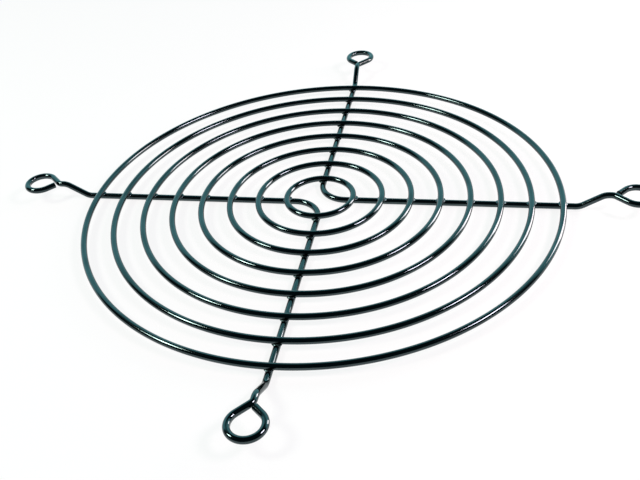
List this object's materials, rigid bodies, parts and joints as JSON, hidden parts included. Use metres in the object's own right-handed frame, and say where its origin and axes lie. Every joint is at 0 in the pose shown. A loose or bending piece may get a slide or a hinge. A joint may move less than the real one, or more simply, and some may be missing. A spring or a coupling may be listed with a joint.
{
  "type": "wire fan guard",
  "caption": "Round guard of plated steel wire for a cooling fan: concentric rings welded on bent spoke wires whose ends curl into raised screw eyes.",
  "frame": {"origin": "centre of the rings, on the surface that the spoke wires lie on", "axes": "+Z from the spoke wires towards the rings and the raised eyes; the eyes stand at the corners of a square along X and Y"},
  "size_m": [0.1172, 0.1172, 0.0049],
  "materials": {
    "plated_wire": "bright nickel-chrome plating on smooth drawn wire, dark where it mirrors a dark room"
  },
  "bodies": {
    "root": {"ring_1": "plated_wire", "ring_2": "plated_wire", "ring_3": "plated_wire", "ring_4": "plated_wire", "ring_5": "plated_wire", "ring_6": "plated_wire", "ring_7": "plated_wire", "ring_8": "plated_wire", "left_spoke_wire": "plated_wire", "right_spoke_wire": "plated_wire"}
  },
  "joints": []
}
